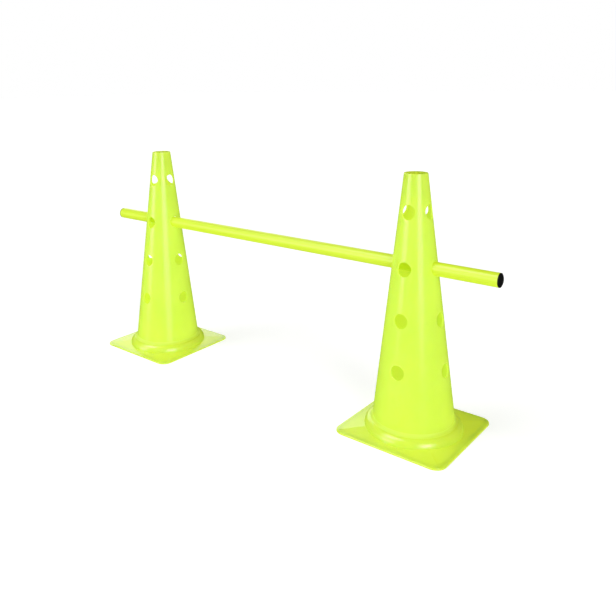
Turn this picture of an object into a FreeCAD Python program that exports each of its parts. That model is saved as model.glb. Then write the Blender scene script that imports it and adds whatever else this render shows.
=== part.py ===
import FreeCAD, Part
import os
from math import radians, sqrt, tan

# A speed hurdle: two hollow marker cones stand on the floor, and a round pole lies through
# the second row of holes from the top of both. X runs along the pole, Z is up, and the origin
# is on the floor midway between the cones. All sizes are in millimetres.

# Pole tube, and how far it stands out past the axis of each cone
POLE_DIAMETER = 25.0
POLE_LENGTH = 990.0
POLE_WALL = 1.5
POLE_OVERHANG = 155.0

# End plugs: a domed head as wide as the tube, and a hollow shank whose ring fins grip the bore
PLUG_FLANGE = 1.5
PLUG_DOME = 3.5
PLUG_SHANK_LENGTH = 22.0
PLUG_SHANK_WALL = 1.8
PLUG_FIN_COUNT = 4
PLUG_FIN_HEIGHT = 2.0
PLUG_FIN_WIDTH = 1.6
PLUG_FIN_CLEARANCE = 0.04

# Cone wall; the foot diameter is where the straight wall would reach the floor
CONE_HEIGHT = 475.0
CONE_TOP_DIAMETER = 42.4
CONE_FOOT_DIAMETER = 154.4
CONE_WALL = 2.5
RIM_ROUND = 0.8

# Rounded collar round the foot of the wall
COLLAR_HEIGHT = 21.0
COLLAR_REACH = 15.3
COLLAR_CREASE_ROUND = 7.0

# Square base, whose top falls away from the collar in four flat faces that meet along the
# diagonals, and whose hollow underside leaves a flat rim to stand on
BASE_MARGIN = 17.5
BASE_CORNER_RADIUS = 21.0
BASE_EDGE = 3.0
BASE_EDGE_ROUND = 1.0
BASE_RIM_WIDTH = 8.0
BASE_SLOPE_DEGREES = 5.0

# Rows of holes, one hole to each side; the shares place them from the lowest row to the top row
LOWEST_ROW_HEIGHT = 126.0
TOP_ROW_DROP = 67.0
ROW_SHARES = (0.0, 0.323, 0.645, 1.0)
HOLE_CLEARANCE = 1.5
POLE_REST_GAP = 0.3

# How far each cut runs past the face that it opens
OVERRUN = 5.0

CENTRE = FreeCAD.Vector(0, 0, 0)
ALONG = FreeCAD.Vector(1, 0, 0)
ACROSS = FreeCAD.Vector(0, 1, 0)
UP = FreeCAD.Vector(0, 0, 1)

pole_radius = POLE_DIAMETER / 2
bore_radius = pole_radius - POLE_WALL
hole_radius = pole_radius + HOLE_CLEARANCE / 2
cone_place = POLE_LENGTH / 2 - POLE_OVERHANG
cone_top_radius = CONE_TOP_DIAMETER / 2
cone_foot_radius = CONE_FOOT_DIAMETER / 2

top_row_height = CONE_HEIGHT - TOP_ROW_DROP
row_heights = [LOWEST_ROW_HEIGHT + share * (top_row_height - LOWEST_ROW_HEIGHT) for share in ROW_SHARES]
# The pole lies low in the second row from the top, just over the lower edges of its holes
pole_height = row_heights[-2] - HOLE_CLEARANCE / 2 + POLE_REST_GAP


def wall_radius(height):
    """Outer radius of the cone's straight wall at a height above the floor."""
    return cone_foot_radius + (cone_top_radius - cone_foot_radius) * height / CONE_HEIGHT


collar_radius = wall_radius(COLLAR_HEIGHT) + COLLAR_REACH
base_half = collar_radius + BASE_MARGIN
base_slope_share = tan(radians(BASE_SLOPE_DEGREES))
collar_foot_height = BASE_EDGE + BASE_MARGIN * base_slope_share


def profile_point(radius, height):
    """A point of a profile that is turned about the cone's axis."""
    return FreeCAD.Vector(radius, 0, height)


def quarter_round(start, end):
    """Edge of a quarter round that bulges outwards, upright at its start and level at its end."""
    lean_share = sqrt(0.5)
    middle_radius = end.x + (start.x - end.x) * lean_share
    middle_height = start.z + (end.z - start.z) * lean_share
    return Part.Arc(start, profile_point(middle_radius, middle_height), end).toShape()


def turned(corners, rounds):
    """Solid turned about Z from profile corners, with a quarter round after each corner listed."""
    edges = []
    for index, start in enumerate(corners):
        end = corners[(index + 1) % len(corners)]
        edges.append(quarter_round(start, end) if index in rounds else Part.makeLine(start, end))
    return Part.Face(Part.Wire(edges)).revolve(CENTRE, UP, 360)


def ring_distance(edge, place):
    """How far a ring edge lies from the ring through a profile point."""
    box = edge.BoundBox
    return abs(box.XMax - place.x) + abs(box.ZMin - place.z) + abs(box.ZMax - place.z)


def cone_outside():
    """Wall and collar as one filled solid, with the crease between them rounded."""
    crease = profile_point(wall_radius(COLLAR_HEIGHT), COLLAR_HEIGHT)
    rim_height = CONE_HEIGHT - RIM_ROUND
    solid = turned(
        [
            profile_point(0, 0),
            profile_point(collar_radius, 0),
            profile_point(collar_radius, collar_foot_height),
            crease,
            profile_point(wall_radius(rim_height), rim_height),
            profile_point(cone_top_radius - RIM_ROUND, CONE_HEIGHT),
            profile_point(0, CONE_HEIGHT),
        ],
        rounds=(2, 4),
    )
    crease_edge = min(solid.Edges, key=lambda edge: ring_distance(edge, crease))
    return solid.makeFillet(COLLAR_CREASE_ROUND, [crease_edge])


def cone_inside():
    """Hollow of the wall and collar, open below and at the top."""
    crown_height = COLLAR_HEIGHT - CONE_WALL
    open_height = CONE_HEIGHT + OVERRUN
    return turned(
        [
            profile_point(0, -OVERRUN),
            profile_point(collar_radius - CONE_WALL, -OVERRUN),
            profile_point(collar_radius - CONE_WALL, collar_foot_height),
            profile_point(wall_radius(crown_height) - CONE_WALL, crown_height),
            profile_point(wall_radius(open_height) - CONE_WALL, open_height),
            profile_point(0, open_height),
        ],
        rounds=(2,),
    )


def square_block(half, corner_radius, bottom, top):
    """Upright block on a square with rounded corners."""
    block = Part.makeBox(2 * half, 2 * half, top - bottom, FreeCAD.Vector(-half, -half, bottom))
    uprights = [edge for edge in block.Edges if abs(edge.tangentAt(edge.FirstParameter).z) > sqrt(0.5)]
    return block.makeFillet(corner_radius, uprights)


def square_outline(half, height):
    """Closed level square about the cone's axis."""
    signs = ((-1, -1), (1, -1), (1, 1), (-1, 1), (-1, -1))
    return Part.makePolygon([FreeCAD.Vector(x * half, y * half, height) for x, y in signs])


def base_roof(eaves_height, floor_height):
    """Block with a low four-sided roof, whose eaves run round the base at a height."""
    crown_half = cone_foot_radius * sqrt(0.5) - CONE_WALL
    crown_height = eaves_height + (base_half - crown_half) * base_slope_share
    roof = Part.makeLoft(
        [square_outline(base_half, eaves_height), square_outline(crown_half, crown_height)], True, True
    )
    side = 2 * base_half
    corner = FreeCAD.Vector(-base_half, -base_half, floor_height)
    return roof.fuse(Part.makeBox(side, side, eaves_height - floor_height, corner))


def base_plate():
    """Square base under the collar, with rounded corners and a rounded upper edge."""
    block = square_block(base_half, BASE_CORNER_RADIUS, 0, COLLAR_HEIGHT)
    plate = base_roof(BASE_EDGE, 0).common(block)
    return plate.makeFillet(BASE_EDGE_ROUND, [edge for edge in plate.Edges if is_upper_edge(edge)])


def is_upper_edge(edge):
    """Whether an edge of the base runs round its outside, along the top of its side."""
    middle = edge.valueAt((edge.FirstParameter + edge.LastParameter) / 2)
    outside = max(abs(middle.x), abs(middle.y)) > base_half - BASE_CORNER_RADIUS
    return outside and edge.BoundBox.ZMin > BASE_EDGE / 2


def base_recess():
    """Hollow under the base, a base's thickness below its top, inside the rim that it stands on."""
    recess_half = base_half - BASE_RIM_WIDTH
    block = square_block(recess_half, BASE_CORNER_RADIUS - BASE_RIM_WIDTH, -OVERRUN, COLLAR_HEIGHT)
    return base_roof(0, -OVERRUN).common(block)


def hole_pair(height, direction):
    """Bar that cuts the two facing holes of one row."""
    length = 2 * (cone_foot_radius + OVERRUN)
    start = UP * height - direction * (length / 2)
    return Part.makeCylinder(hole_radius, length, start, direction)


def cone():
    """One whole cone, with its axis on Z."""
    shell = cone_outside().fuse(base_plate()).cut([cone_inside(), base_recess()])
    holes = [hole_pair(height, direction) for height in row_heights for direction in (ALONG, ACROSS)]
    return shell.cut(holes).removeSplitter()


def pole_tube():
    """Open tube along X, lying in the holes of the pole's row."""
    start = ALONG * (-POLE_LENGTH / 2) + UP * pole_height
    outside = Part.makeCylinder(pole_radius, POLE_LENGTH, start, ALONG)
    bore = Part.makeCylinder(bore_radius, POLE_LENGTH + 2 * OVERRUN, start - ALONG * OVERRUN, ALONG)
    return outside.cut(bore)


def plug_dome():
    """Shallow cap of a ball over the plug's flange."""
    ball_radius = (pole_radius ** 2 + PLUG_DOME ** 2) / (2 * PLUG_DOME)
    ball_centre = ALONG * (PLUG_FLANGE + PLUG_DOME - ball_radius)
    bar = Part.makeCylinder(pole_radius, PLUG_FLANGE + PLUG_DOME, CENTRE, ALONG)
    return Part.makeSphere(ball_radius, ball_centre).common(bar)


def end_plug():
    """Plug for the right end, with the underside of its head at the origin and its shank along -X."""
    core_radius = bore_radius - PLUG_FIN_HEIGHT
    back = ALONG * -1
    solids = [plug_dome(), Part.makeCylinder(core_radius, PLUG_SHANK_LENGTH, CENTRE, back)]
    pitch = PLUG_SHANK_LENGTH / PLUG_FIN_COUNT
    for index in range(PLUG_FIN_COUNT):
        start = back * ((index + 1) * pitch - PLUG_FIN_WIDTH)
        solids.append(Part.makeCylinder(bore_radius - PLUG_FIN_CLEARANCE, PLUG_FIN_WIDTH, start, back))
    well_length = PLUG_SHANK_LENGTH + OVERRUN
    well = Part.makeCylinder(core_radius - PLUG_SHANK_WALL, well_length, CENTRE, back)
    return solids[0].fuse(solids[1:]).cut(well).removeSplitter()


def placed(shape, x, z, half_turn=False):
    """Copy of a shape moved to its place, turned end for end where asked."""
    copy = shape.rotated(CENTRE, UP, 180) if half_turn else shape.copy()
    return copy.translated(ALONG * x + UP * z)


def main():
    one_cone = cone()
    one_plug = end_plug()
    nodes = {
        "left_cone": placed(one_cone, -cone_place, 0),
        "right_cone": placed(one_cone, cone_place, 0),
        "pole_tube": pole_tube(),
        "left_end_plug": placed(one_plug, -POLE_LENGTH / 2, pole_height, half_turn=True),
        "right_end_plug": placed(one_plug, POLE_LENGTH / 2, pole_height),
    }
    os.makedirs("parts", exist_ok=True)
    for name, shape in nodes.items():
        print(name, "solids", len(shape.Solids), "valid", shape.isValid(), "volume", round(shape.Volume, 1))
        shape.Solids[0].exportStep(f"parts/{name}.step")


main()
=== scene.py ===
from math import asin, atan2, ceil, cos, hypot, pi, radians, sin, sqrt, tan

import bmesh
import bpy
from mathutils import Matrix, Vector


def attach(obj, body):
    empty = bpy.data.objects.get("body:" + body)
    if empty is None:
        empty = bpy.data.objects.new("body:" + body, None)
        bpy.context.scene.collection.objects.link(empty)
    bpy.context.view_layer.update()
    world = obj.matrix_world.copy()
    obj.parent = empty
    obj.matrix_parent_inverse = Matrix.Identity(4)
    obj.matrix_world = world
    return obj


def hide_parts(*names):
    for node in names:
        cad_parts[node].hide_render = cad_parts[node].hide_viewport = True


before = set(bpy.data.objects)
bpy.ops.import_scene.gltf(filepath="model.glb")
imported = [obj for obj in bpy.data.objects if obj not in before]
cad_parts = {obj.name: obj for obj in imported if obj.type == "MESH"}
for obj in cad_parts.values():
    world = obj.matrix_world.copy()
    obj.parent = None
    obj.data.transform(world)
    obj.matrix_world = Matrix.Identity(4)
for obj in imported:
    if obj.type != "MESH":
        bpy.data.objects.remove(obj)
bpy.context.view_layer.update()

# A speed hurdle: two hollow marker cones on square bases, and a tube that lies through their second row
# of holes from the top, with a black plug in each end. X runs along the tube, and Z is up. Sizes are in
# millimetres, and MM turns them to metres.
MM = 0.001

# Cone wall; the foot radius is where the straight wall would reach the floor
CONE_HEIGHT = 475.0
CONE_TOP_RADIUS = 21.2
CONE_FOOT_RADIUS = 77.2
CONE_WALL = 2.5
CONE_EDGE_BREAK = 0.35
RIM_ROUND = 0.8
CONE_SPAN = 680.0

# Rounded collar round the foot of the wall, with a rounded crease between them
COLLAR_HEIGHT = 21.0
COLLAR_REACH = 15.3
COLLAR_CREASE_ROUND = 7.0

# Square base, whose top falls away from the collar, on a flat rim
BASE_HALF = 107.524
BASE_CORNER_RADIUS = 21.0
BASE_EDGE = 3.0
BASE_EDGE_ROUND = 1.0
BASE_RIM_WIDTH = 8.0
BASE_SLOPE = tan(radians(5.0))

# Holes, one to each side in every row
HOLE_RADIUS = 13.25
HOLE_ROWS = (126.0, 217.086, 307.89, 408.0)

# Tube
POLE_RADIUS = 12.5
POLE_WALL = 1.5
POLE_LENGTH = 990.0
POLE_HEIGHT = 307.44
POLE_EDGE_BREAK = 0.25

# End plugs
PLUG_FLANGE = 1.5
PLUG_DOME = 3.5
PLUG_SHANK_LENGTH = 22.0
PLUG_SHANK_RADIUS = 9.0
PLUG_WELL_RADIUS = 7.2
PLUG_FIN_RADIUS = 10.96
PLUG_FIN_WIDTH = 1.6
PLUG_FIN_COUNT = 4
PLUG_EDGE_BREAK = 0.3

# How finely the meshes are divided
CONE_SEGMENTS = 96
POLE_SEGMENTS = 72
WALL_STEP = 13.0
CREASE_STEPS = 8
COLLAR_STEPS = 11
DOME_STEPS = 8
BRIDGE_CUTS = 3
ROUND_SEGMENTS = 3
BREAK_SEGMENTS = 2
HARD_EDGE_DEGREES = 50

# Each hole is opened in a square of wall, this far to each side of its centre and this many faces high
HOLE_FRAME = 18.0
HOLE_FRAME_ROWS = 8
# The collar's rings up to this height over its foot slide along its round
COLLAR_LIFT_REACH = 9.0
# The open edges and the diagonals below this height are the base's
BASE_LIMIT = 12.0

# Tolerances for finding points by their place, and for merging them
SLACK = 0.1
HAIR = 0.01
WELD = 0.001

# The cone's painted emission is dimmed, as painted shade, inside its mouth over this depth and on the
# collar and base
MOUTH_SHADE = 60.0
FOOT_PAINTED_GLOW = 0.55
# The crease over the collar, where the skin is dull: the middle of its height, and how far it reaches
CREASE_HEIGHT = 22.55
CREASE_REACH = 2.75

# Noise textures stay mostly between these values
NOISE_RANGE = (0.3, 0.7)

# Soft lights: name, then azimuth, elevation and spread in degrees, and strength
LIGHTS = (
    ("left_low", 237, 6, 30, 0.72),
    ("left_middle", 236, 28, 30, 0.36),
    ("left_high", 224, 58, 30, 1.10),
    ("right_low", 326, 5, 30, 0.76),
    ("right_middle", 329, 28, 30, 1.30),
    ("back_left", 142, 22, 36, 0.48),
)
# Brightness of the room that lights the plastic, and of the backdrop that the camera sees
DIM_ROOM = 0.03
WHITE_BACKDROP = 1.0
FLOOR_METRES = 60

# The photograph's viewpoint, in metres and degrees, fitted to the hurdle's outlines
CAMERA_PLACE = (0.90108, -1.05945, 0.63697)
CAMERA_TURN = (82.7077, 0.8928, 40.0143)
CAMERA_LENS = 39.22
CAMERA_SENSOR = 36.0
CAMERA_SHIFT = (0.0584, -0.2273)


def wall_radius(height):
    """Outer radius of the cone's straight wall at a height."""
    return CONE_FOOT_RADIUS + (CONE_TOP_RADIUS - CONE_FOOT_RADIUS) * height / CONE_HEIGHT


def roof_height(x, y):
    """Height of the base's top, which falls away from the collar in four flat faces."""
    return BASE_EDGE + (BASE_HALF - max(abs(x), abs(y))) * BASE_SLOPE


# The collar is a quarter round that ends on the base's top
collar_foot = roof_height(wall_radius(COLLAR_HEIGHT) + COLLAR_REACH, 0)
collar_round = (COLLAR_REACH + COLLAR_HEIGHT - collar_foot) / 2
collar_centre = wall_radius(COLLAR_HEIGHT) + COLLAR_REACH - collar_round


# Modelling

def profile_line(name, points):
    """New piece that holds a line through points, drawn by extruding one vertex; stays in edit mode."""
    bpy.ops.object.select_all(action="DESELECT")
    bpy.ops.mesh.primitive_plane_add(size=MM)
    piece = bpy.context.object
    piece.name = piece.data.name = name
    bpy.ops.object.mode_set(mode="EDIT")
    bpy.ops.mesh.select_mode(type="VERT")
    bpy.ops.mesh.select_all(action="SELECT")
    bpy.ops.mesh.merge(type="CENTER")
    places = [Vector(point) * MM for point in points]
    bpy.ops.transform.translate(value=places[0])
    for before, after in zip(places, places[1:]):
        bpy.ops.mesh.extrude_vertices_move(TRANSFORM_OT_translate={"value": after - before})
    return piece


def spin_round(segments, centre, axis):
    """Turn the profile into a surface all round an axis, and close its seam and poles."""
    bpy.ops.mesh.select_all(action="SELECT")
    bpy.ops.mesh.spin(steps=segments, angle=2 * pi, center=centre, axis=axis)
    bpy.ops.mesh.select_all(action="SELECT")
    bpy.ops.mesh.remove_doubles(threshold=WELD * MM)
    bpy.ops.mesh.normals_make_consistent(inside=False)


def select(piece, kind, test):
    """Select only the vertices, edges or faces that pass a test; the kind is VERT, EDGE or FACE."""
    bpy.ops.mesh.select_all(action="DESELECT")
    bpy.ops.mesh.select_mode(type=kind)
    mesh = bmesh.from_edit_mesh(piece.data)
    for part in {"VERT": mesh.verts, "EDGE": mesh.edges, "FACE": mesh.faces}[kind]:
        part.select_set(test(part))
    mesh.select_flush_mode()
    bmesh.update_edit_mesh(piece.data)


def round_edges(piece, width, test):
    """Round the edges whose two ends pass a test."""
    select(piece, "EDGE", lambda edge: all(test(vert.co) for vert in edge.verts))
    bpy.ops.mesh.bevel(offset=width * MM, segments=ROUND_SEGMENTS, affect="EDGES")


def apply_modifier(piece, kind, settings):
    """Add one modifier to a piece and apply it."""
    modifier = piece.modifiers.new(kind.title(), kind)
    for setting, value in settings.items():
        setattr(modifier, setting, value)
    bpy.ops.object.modifier_apply(modifier=modifier.name)


def finish_shell(piece, edge_break):
    """Break every hard edge by a small round, and shade the piece smooth but for what stays hard."""
    bpy.ops.object.mode_set(mode="OBJECT")
    apply_modifier(piece, "BEVEL", {
        "width": edge_break * MM, "segments": BREAK_SEGMENTS, "limit_method": "ANGLE",
        "angle_limit": radians(HARD_EDGE_DEGREES), "use_clamp_overlap": True, "miter_outer": "MITER_ARC"})
    bpy.ops.object.shade_smooth_by_angle(angle=radians(HARD_EDGE_DEGREES))
    apply_modifier(piece, "WEIGHTED_NORMAL", {"keep_sharp": True})


def placed_copy(piece, name, place, half_turn=False):
    """Copy of a piece with its own mesh, moved to its place with the place kept in the mesh."""
    bpy.ops.object.select_all(action="DESELECT")
    piece.select_set(True)
    bpy.context.view_layer.objects.active = piece
    bpy.ops.object.duplicate(linked=False)
    copy = bpy.context.object
    copy.name = copy.data.name = name
    copy.rotation_euler.z = pi if half_turn else 0
    copy.location = Vector(place) * MM
    bpy.ops.object.transform_apply(location=True, rotation=True, scale=True)
    return copy


# Marker cone

def arc(centre, radius, start, end, count):
    """Points along an arc of a profile, after its first point."""
    turns = [start + (end - start) * (index + 1) / count for index in range(count)]
    return [(centre[0] + radius * cos(turn), 0, centre[1] + radius * sin(turn)) for turn in turns]


def wall_profile():
    """Points of the wall from its top rim down over the collar, with the crease between them rounded."""
    # The crease is a smaller round that touches both the wall and the collar
    lean = atan2(CONE_FOOT_RADIUS - CONE_TOP_RADIUS, CONE_HEIGHT)
    reach = wall_radius(collar_foot) + COLLAR_CREASE_ROUND / cos(lean) - collar_centre
    share = reach * sin(lean)
    rise = share + sqrt(share ** 2 + (collar_round + COLLAR_CREASE_ROUND) ** 2 - reach ** 2)
    crease_out, crease_up = reach - rise * sin(lean), rise * cos(lean)
    touch = atan2(crease_up, crease_out)

    stops = [CONE_HEIGHT]
    for row in reversed(HOLE_ROWS):
        step = 2 * HOLE_FRAME / HOLE_FRAME_ROWS
        stops += [row + HOLE_FRAME - step * index for index in range(HOLE_FRAME_ROWS + 1)]
    stops.append(collar_foot + crease_up + COLLAR_CREASE_ROUND * sin(-lean))
    heights = [stops[0]]
    for upper, lower in zip(stops, stops[1:]):
        count = ceil((upper - lower) / WALL_STEP)
        heights += [upper + (lower - upper) * (index + 1) / count for index in range(count)]
    points = [(wall_radius(height), 0, height) for height in heights]
    crease_centre = (collar_centre + crease_out, collar_foot + crease_up)
    points += arc(crease_centre, COLLAR_CREASE_ROUND, pi + lean, pi + touch, CREASE_STEPS)
    return points + arc((collar_centre, collar_foot), collar_round, touch, 0, COLLAR_STEPS)


def open_hole(piece, turn, row):
    """Open one round hole in the wall: a block of faces goes, and a circle is bridged to its border."""
    along = Vector((cos(turn), sin(turn), 0))
    side = Vector((-sin(turn), cos(turn), 0))
    step = 2 * pi / CONE_SEGMENTS
    columns = round(asin(HOLE_FRAME / wall_radius(row)) / step)

    def within(point):
        angle = atan2(point.dot(side), point.dot(along))
        return (abs(angle) < (columns + HAIR) * step
                and abs(point.z - row * MM) < (HOLE_FRAME + HAIR) * MM)

    def border(edge):
        return len(edge.link_faces) < 2 and all(within(vert.co) for vert in edge.verts)

    select(piece, "FACE", lambda face: all(within(vert.co) for vert in face.verts))
    bpy.ops.mesh.delete(type="FACE")
    corners = 2 * (2 * columns + HOLE_FRAME_ROWS)
    centre = along * wall_radius(row) * MM + Vector((0, 0, row * MM))
    bpy.ops.mesh.primitive_circle_add(vertices=corners, radius=HOLE_RADIUS * MM, location=centre,
                                      rotation=(0, pi / 2, turn))
    select(piece, "EDGE", border)
    bpy.ops.mesh.bridge_edge_loops(number_cuts=BRIDGE_CUTS, interpolation="LINEAR")
    # What was bridged is laid on the wall, straight along the hole
    mesh = bmesh.from_edit_mesh(piece.data)
    for vert in mesh.verts:
        if within(vert.co):
            across = vert.co.dot(side)
            depth = sqrt((wall_radius(vert.co.z / MM) * MM) ** 2 - across ** 2)
            vert.co = along * depth + side * across + Vector((0, 0, vert.co.z))
    bmesh.update_edit_mesh(piece.data)


def lift_collar(piece):
    """Slide the collar's lower rings up along its round, so that its foot follows the base's top."""
    rim = collar_centre + collar_round
    mesh = bmesh.from_edit_mesh(piece.data)
    for vert in mesh.verts:
        height = vert.co.z / MM - collar_foot
        if height < COLLAR_LIFT_REACH:
            around = atan2(vert.co.y, vert.co.x)
            lift = roof_height(rim * cos(around), rim * sin(around)) - collar_foot
            height = lift + height * (1 - lift / COLLAR_LIFT_REACH)
            out = collar_centre + sqrt(collar_round ** 2 - height ** 2)
            vert.co = Vector((out * cos(around), out * sin(around), collar_foot + height)) * MM
    bmesh.update_edit_mesh(piece.data)


def add_base(piece):
    """Square base with rounded corners, bridged to the foot of the collar, and its upright edge."""
    def is_low(vert):
        return vert.co.z < BASE_LIMIT * MM

    def low_border(edge):
        return len(edge.link_faces) < 2 and all(is_low(vert) for vert in edge.verts)

    def on_diagonal(vert):
        return abs(abs(vert.co.x) - abs(vert.co.y)) < HAIR * MM and is_low(vert)

    # Each corner and each side of the outline takes an eighth of the collar's points
    eighth = CONE_SEGMENTS // 8
    bpy.ops.mesh.select_all(action="DESELECT")
    bpy.ops.mesh.select_mode(type="VERT")
    bpy.ops.mesh.primitive_plane_add(size=2 * BASE_HALF * MM, location=(0, 0, BASE_EDGE * MM))
    bpy.ops.mesh.bevel(offset=BASE_CORNER_RADIUS * MM, segments=eighth, profile=0.5, affect="VERTICES")
    bpy.ops.mesh.delete(type="ONLY_FACE")
    select(piece, "EDGE", lambda edge: not edge.link_faces and edge.calc_length() > BASE_HALF * MM)
    bpy.ops.mesh.subdivide(number_cuts=eighth - 1)
    mesh = bmesh.from_edit_mesh(piece.data)
    for vert in mesh.verts:
        if not vert.link_faces:
            vert.co.z = roof_height(vert.co.x / MM, vert.co.y / MM) * MM
    bmesh.update_edit_mesh(piece.data)
    select(piece, "EDGE", low_border)
    bpy.ops.mesh.bridge_edge_loops(number_cuts=BRIDGE_CUTS, interpolation="LINEAR")
    # The upright edge is drawn down, and its foot pressed flat on the floor
    select(piece, "EDGE", low_border)
    bpy.ops.mesh.extrude_edges_move(TRANSFORM_OT_translate={"value": (0, 0, -BASE_EDGE * MM / 2)})
    bpy.ops.transform.resize(value=(1, 1, 0), center_override=(0, 0, 0))
    # The four faces of the top meet in crisp lines along the diagonals
    select(piece, "EDGE", lambda edge: all(on_diagonal(vert) for vert in edge.verts))
    bpy.ops.mesh.mark_sharp()
    bpy.ops.mesh.select_all(action="SELECT")
    bpy.ops.mesh.normals_make_consistent(inside=False)


def outline_distance(point):
    """How far a point lies outside the base's rounded outline, in millimetres."""
    straight = BASE_HALF - BASE_CORNER_RADIUS
    over_x, over_y = (abs(point.x) / MM - straight, abs(point.y) / MM - straight)
    return hypot(max(over_x, 0), max(over_y, 0)) + min(max(over_x, over_y), 0) - BASE_CORNER_RADIUS


def widen_rim(piece):
    """Bring the inner side of the base's edge further in, so that the cone stands on a flat rim."""
    def inner_side(vert):
        return (vert.co.z < BASE_EDGE / 2 * MM
                and -2 * CONE_WALL < outline_distance(vert.co) < -CONE_WALL / 2)

    share = (BASE_HALF - BASE_RIM_WIDTH) / (BASE_HALF - CONE_WALL)
    select(piece, "VERT", lambda vert: inner_side(vert) and vert.co.z > SLACK * MM)
    bpy.ops.transform.translate(value=(0, 0, (BASE_RIM_WIDTH - CONE_WALL) * BASE_SLOPE * MM))
    select(piece, "VERT", inner_side)
    bpy.ops.transform.resize(value=(share, share, 1), center_override=(0, 0, 0))


def on_base_edge(place):
    """Whether a point is on the upper edge of the base's outline."""
    return abs(outline_distance(place)) < SLACK and place.z > BASE_EDGE / 2 * MM


def on_top_rim(place):
    """Whether a point is on the outer edge of the open top."""
    return (place.z > (CONE_HEIGHT - SLACK) * MM
            and hypot(place.x, place.y) > (CONE_TOP_RADIUS - SLACK) * MM)


def is_inside(place):
    """Whether a place in millimetres is on the inner side of the wall."""
    return hypot(place.x, place.y) < wall_radius(place.z) - CONE_WALL / 2


def painted_glow_share(place):
    """Share of painted emission at a place in millimetres: full in the wall, dimmed as painted shade at
    mouth and foot.
    """
    if is_inside(place) and place.z > COLLAR_HEIGHT + CONE_WALL:
        return min(1.0, (CONE_HEIGHT - place.z) / MOUTH_SHADE)
    rise = (place.z - COLLAR_HEIGHT) / COLLAR_CREASE_ROUND
    return FOOT_PAINTED_GLOW + (1 - FOOT_PAINTED_GLOW) * min(1.0, max(0.0, rise))


def dull_share(place):
    """How dull the skin is at a place in millimetres: fully in the dusty crease over the collar."""
    return float(abs(place.z - CREASE_HEIGHT) < CREASE_REACH and not is_inside(place))


def note_points(piece, name, share):
    """Keep a share for each point of a piece, as an attribute that its material reads."""
    values = piece.data.attributes.new(name, "FLOAT", "POINT").data
    for vert, value in zip(piece.data.vertices, values):
        value.value = share(vert.co / MM)


def marker_cone():
    """One whole cone about the Z axis: a turned sheet with its holes and base, given its wall thickness."""
    piece = profile_line("marker_cone", wall_profile())
    spin_round(CONE_SEGMENTS, (0, 0, 0), (0, 0, 1))
    for row in HOLE_ROWS:
        for quarter in range(4):
            open_hole(piece, quarter * pi / 2, row)
    lift_collar(piece)
    add_base(piece)
    bpy.ops.object.mode_set(mode="OBJECT")
    apply_modifier(piece, "SOLIDIFY", {"thickness": CONE_WALL * MM, "offset": -1.0, "use_even_offset": True,
                                       "use_quality_normals": True})
    bpy.ops.object.mode_set(mode="EDIT")
    widen_rim(piece)
    round_edges(piece, BASE_EDGE_ROUND, on_base_edge)
    round_edges(piece, RIM_ROUND, on_top_rim)
    finish_shell(piece, CONE_EDGE_BREAK)
    # Painted light: an emission share, dimmed as painted shade in the mouth and on the foot; and the dull
    # crease
    note_points(piece, "painted_glow", painted_glow_share)
    note_points(piece, "dull", dull_share)
    return piece


# Pole

def pole_tube():
    """Tube with a bore, its cut ends broken a little."""
    end = POLE_LENGTH / 2
    bore = POLE_RADIUS - POLE_WALL
    outline = [(-end, bore), (-end, POLE_RADIUS), (end, POLE_RADIUS), (end, bore), (-end, bore)]
    piece = profile_line("pole_tube_shell", [(x, 0, POLE_HEIGHT + radius) for x, radius in outline])
    spin_round(POLE_SEGMENTS, (0, 0, POLE_HEIGHT * MM), (1, 0, 0))
    finish_shell(piece, POLE_EDGE_BREAK)
    return piece


def end_plug():
    """Plug for the right end, about the X axis: a domed head, and a hollow shank with ring fins."""
    ball = (POLE_RADIUS ** 2 + PLUG_DOME ** 2) / (2 * PLUG_DOME)
    centre = PLUG_FLANGE + PLUG_DOME - ball
    dome_turn = asin(POLE_RADIUS / ball)
    turns = [dome_turn * index / DOME_STEPS for index in range(DOME_STEPS + 1)]
    outline = [(centre + ball * cos(turn), ball * sin(turn)) for turn in turns]
    outline += [(0, POLE_RADIUS), (0, PLUG_SHANK_RADIUS)]
    pitch = PLUG_SHANK_LENGTH / PLUG_FIN_COUNT
    for index in range(PLUG_FIN_COUNT):
        back = (index + 1) * pitch
        outline += [(PLUG_FIN_WIDTH - back, PLUG_SHANK_RADIUS), (PLUG_FIN_WIDTH - back, PLUG_FIN_RADIUS),
                    (-back, PLUG_FIN_RADIUS), (-back, PLUG_SHANK_RADIUS)]
    # The last fin ends the shank, and its face runs on to the well
    outline[-1] = (-PLUG_SHANK_LENGTH, PLUG_WELL_RADIUS)
    outline += [(0, PLUG_WELL_RADIUS), (0, 0)]
    piece = profile_line("plug", [(x, 0, radius) for x, radius in outline])
    spin_round(POLE_SEGMENTS, (0, 0, 0), (1, 0, 0))
    finish_shell(piece, PLUG_EDGE_BREAK)
    return piece


# Materials

def linear(text):
    """Linear colour from an sRGB hex value."""
    parts = [int(text[place:place + 2], 16) / 255 for place in (1, 3, 5)]
    return [part / 12.92 if part <= 0.04045 else ((part + 0.055) / 1.055) ** 2.4 for part in parts] + [1.0]


def add(tree, kind, settings=None, **links):
    """Add a node, set its sockets and properties, and link its inputs from other nodes' outputs."""
    node = tree.nodes.new("ShaderNode" + kind)
    for name, value in (settings or {}).items():
        if name in node.inputs:
            node.inputs[name].default_value = value
        else:
            setattr(node, name, value)
    for name, source in links.items():
        tree.links.new(source, node.inputs[name.replace("_", " ")])
    return node


def new_material(name):
    """Empty node material, with its tree, shader and Object coordinates."""
    material = bpy.data.materials.new(name)
    material.use_nodes = True
    tree = material.node_tree
    shader = tree.nodes["Principled BSDF"]
    return material, tree, shader, add(tree, "TexCoord").outputs["Object"]


def per_mm(size):
    """Texture scale, in metres, for a pattern whose features are a size in millimetres apart."""
    return 1 / (size * MM)


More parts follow.
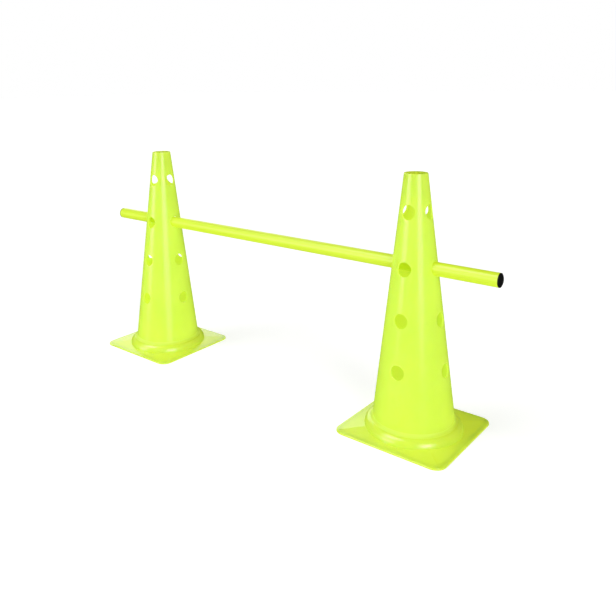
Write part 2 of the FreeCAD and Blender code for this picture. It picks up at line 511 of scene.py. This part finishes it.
def lime_polyethylene():
    """Fluorescent lime polyethylene, injection moulded: bright with a painted emission, faintly cloudy,
    with a soft sheen.
    """
    material, tree, shader, place = new_material("Moulded fluorescent lime polyethylene")
    # The dye is a little uneven, in clouds about 70 mm across
    clouds = add(tree, "TexNoise", {"Scale": per_mm(70), "Detail": 3.0, "Roughness": 0.5}, Vector=place)
    tint = add(tree, "ValToRGB", Fac=clouds.outputs["Fac"])
    for stop, position, colour in zip(tint.color_ramp.elements, NOISE_RANGE, ("#afcd47", "#b6d34d")):
        stop.position, stop.color = position, linear(colour)
    tree.links.new(tint.outputs["Color"], shader.inputs["Base Color"])
    # Moulded skin: an orange peel about 1.6 mm across, coarser than the real one so that it shows
    peel = add(tree, "TexNoise", {"Scale": per_mm(1.6), "Detail": 2.0}, Vector=place)
    bump = add(tree, "Bump", {"Strength": 0.05, "Distance": 0.1 * MM}, Height=peel.outputs["Fac"])
    tree.links.new(bump.outputs["Normal"], shader.inputs["Normal"])
    gloss = add(tree, "MapRange", {"To Min": 0.2, "To Max": 0.28}, Value=clouds.outputs["Fac"])
    dull = add(tree, "Attribute", {"attribute_name": "dull"})
    skin = add(tree, "MapRange", {"To Max": 0.6}, Value=dull.outputs["Fac"], To_Min=gloss.outputs["Result"])
    tree.links.new(skin.outputs["Result"], shader.inputs["Roughness"])
    shader.inputs["IOR"].default_value = 1.51
    shader.inputs["Specular IOR Level"].default_value = 0.7
    # Light soaks into the thin wall; the dye's fluorescence and the light through the wall are painted as
    # an emission
    shader.inputs["Subsurface Weight"].default_value = 1.0
    shader.inputs["Subsurface Radius"].default_value = (1.3, 1.0, 0.4)
    shader.inputs["Subsurface Scale"].default_value = 12 * MM
    # Painted light: the emission, full in the wall and dimmed as painted shade in the mouth and on the foot
    painted_glow = add(tree, "Attribute", {"attribute_name": "painted_glow"})
    painted_glow_colour = add(tree, "ValToRGB", Fac=painted_glow.outputs["Fac"])
    for stop, position, colour in zip(painted_glow_colour.color_ramp.elements, (0.0, 1.0), ("#000000", "#bdd748")):
        stop.position, stop.color = position, linear(colour)
    tree.links.new(painted_glow_colour.outputs["Color"], shader.inputs["Emission Color"])
    shader.inputs["Emission Strength"].default_value = 0.37
    return material


def lime_tube():
    """Fluorescent lime plastic, extruded: satin, with fine draw lines and a painted yellow emission."""
    material, tree, shader, place = new_material("Extruded fluorescent lime tube")
    # Draw lines about 1.2 mm apart, coarser than the real ones so that they show
    stretched = add(tree, "Mapping", {"Scale": (0.03, 1, 1)}, Vector=place)
    lines = add(tree, "TexNoise", {"Scale": per_mm(1.2), "Detail": 2.0}, Vector=stretched.outputs["Vector"])
    tint = add(tree, "ValToRGB", Fac=lines.outputs["Fac"])
    for stop, position, colour in zip(tint.color_ramp.elements, NOISE_RANGE, ("#a6c62a", "#adcd30")):
        stop.position, stop.color = position, linear(colour)
    tree.links.new(tint.outputs["Color"], shader.inputs["Base Color"])
    bump = add(tree, "Bump", {"Strength": 0.04, "Distance": 0.1 * MM}, Height=lines.outputs["Fac"])
    tree.links.new(bump.outputs["Normal"], shader.inputs["Normal"])
    gloss = add(tree, "MapRange", {"To Min": 0.3, "To Max": 0.38}, Value=lines.outputs["Fac"])
    tree.links.new(gloss.outputs["Result"], shader.inputs["Roughness"])
    shader.inputs["IOR"].default_value = 1.5
    shader.inputs["Specular IOR Level"].default_value = 0.7
    # Painted light: a steady yellow emission that keeps the tube bright and yellow even in shade
    shader.inputs["Emission Color"].default_value = linear("#f2fb1c")
    shader.inputs["Emission Strength"].default_value = 0.32
    return material


def black_polyethylene():
    """Black polyethylene, moulded: near black, with a dull sheen and a faint grain."""
    material, tree, shader, place = new_material("Moulded black polyethylene")
    # Grain about 0.9 mm across, coarser than the real one so that it shows
    grain = add(tree, "TexNoise", {"Scale": per_mm(0.9), "Detail": 3.0}, Vector=place)
    tint = add(tree, "ValToRGB", Fac=grain.outputs["Fac"])
    for stop, position, colour in zip(tint.color_ramp.elements, NOISE_RANGE, ("#0a0a0a", "#121211")):
        stop.position, stop.color = position, linear(colour)
    tree.links.new(tint.outputs["Color"], shader.inputs["Base Color"])
    bump = add(tree, "Bump", {"Strength": 0.08, "Distance": 0.1 * MM}, Height=grain.outputs["Fac"])
    tree.links.new(bump.outputs["Normal"], shader.inputs["Normal"])
    gloss = add(tree, "MapRange", {"To Min": 0.35, "To Max": 0.5}, Value=grain.outputs["Fac"])
    tree.links.new(gloss.outputs["Result"], shader.inputs["Roughness"])
    shader.inputs["IOR"].default_value = 1.51
    shader.inputs["Specular IOR Level"].default_value = 0.3
    return material


# Pieces on their bodies

def dress(piece, material, body, node):
    """Give a piece its material, body and slot, and let it stand for its CAD node."""
    piece.data.materials.clear()
    piece.data.materials.append(material)
    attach(piece, body)
    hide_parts(node)


cone_plastic = lime_polyethylene()
pole_plastic = lime_tube()
plug_plastic = black_polyethylene()

cone_pattern = marker_cone()
for cone_body, cone_side in (("left_cone", -1), ("right_cone", 1)):
    cone = placed_copy(cone_pattern, f"{cone_body}_shell", (cone_side * CONE_SPAN / 2, 0, 0))
    dress(cone, cone_plastic, cone_body, cone_body)
bpy.data.objects.remove(cone_pattern)

dress(pole_tube(), pole_plastic, "pole", "pole_tube")

plug_pattern = end_plug()
for plug_name, plug_side in (("left_end_plug", -1), ("right_end_plug", 1)):
    plug_place = (plug_side * POLE_LENGTH / 2, 0, POLE_HEIGHT)
    plug = placed_copy(plug_pattern, f"{plug_name}_head", plug_place, half_turn=plug_side < 0)
    dress(plug, plug_plastic, "pole", plug_name)
bpy.data.objects.remove(plug_pattern)


# Floor, light and camera

def studio_floor():
    """Plain pale floor that glows, so that shadows stay faint, and isn't mirrored in the plastic."""
    bpy.ops.object.select_all(action="DESELECT")
    bpy.ops.mesh.primitive_plane_add(size=FLOOR_METRES)
    floor = bpy.context.object
    floor.name = "floor"
    floor.visible_glossy = False
    material, _, shader, _ = new_material("Pale studio floor")
    shader.inputs["Base Color"].default_value = linear("#c4c4c4")
    shader.inputs["Emission Color"].default_value = linear("#ffffff")
    shader.inputs["Emission Strength"].default_value = 0.70
    shader.inputs["Roughness"].default_value = 0.9
    shader.inputs["Specular IOR Level"].default_value = 0.1
    floor.data.materials.append(material)


def soft_light(name, azimuth, elevation, spread, strength):
    """Large round studio light, far off in a direction given in degrees, even over the whole floor."""
    light = bpy.data.lights.new(name, "SUN")
    light.angle = radians(spread)
    light.energy = strength
    lamp = bpy.data.objects.new(name, light)
    bpy.context.scene.collection.objects.link(lamp)
    lamp.rotation_euler = (radians(90 - elevation), 0, radians(azimuth + 90))


def studio_light():
    """White backdrop in a dim room, with soft lights to both sides of the camera and one from behind."""
    world = bpy.data.worlds.new("studio")
    bpy.context.scene.world = world
    world.use_nodes = True
    tree = world.node_tree
    seen = add(tree, "LightPath").outputs["Is Camera Ray"]
    brightness = add(tree, "MapRange", {"To Min": DIM_ROOM, "To Max": WHITE_BACKDROP}, Value=seen)
    backdrop = tree.nodes["Background"]
    backdrop.inputs["Color"].default_value = linear("#ffffff")
    tree.links.new(brightness.outputs["Result"], backdrop.inputs["Strength"])
    for light in LIGHTS:
        soft_light(*light)


def photo_camera():
    """Camera at the photograph's place: above and to the right, looking along the hurdle."""
    data = bpy.data.cameras.new("camera")
    camera = bpy.data.objects.new("camera", data)
    bpy.context.scene.collection.objects.link(camera)
    camera.location = CAMERA_PLACE
    camera.rotation_euler = [radians(turn) for turn in CAMERA_TURN]
    data.sensor_width = CAMERA_SENSOR
    data.lens = CAMERA_LENS
    data.shift_x, data.shift_y = CAMERA_SHIFT
    bpy.context.scene.camera = camera


studio_floor()
studio_light()
photo_camera()
# The standard view keeps the strong lime as it is
bpy.context.scene.view_settings.view_transform = "Standard"
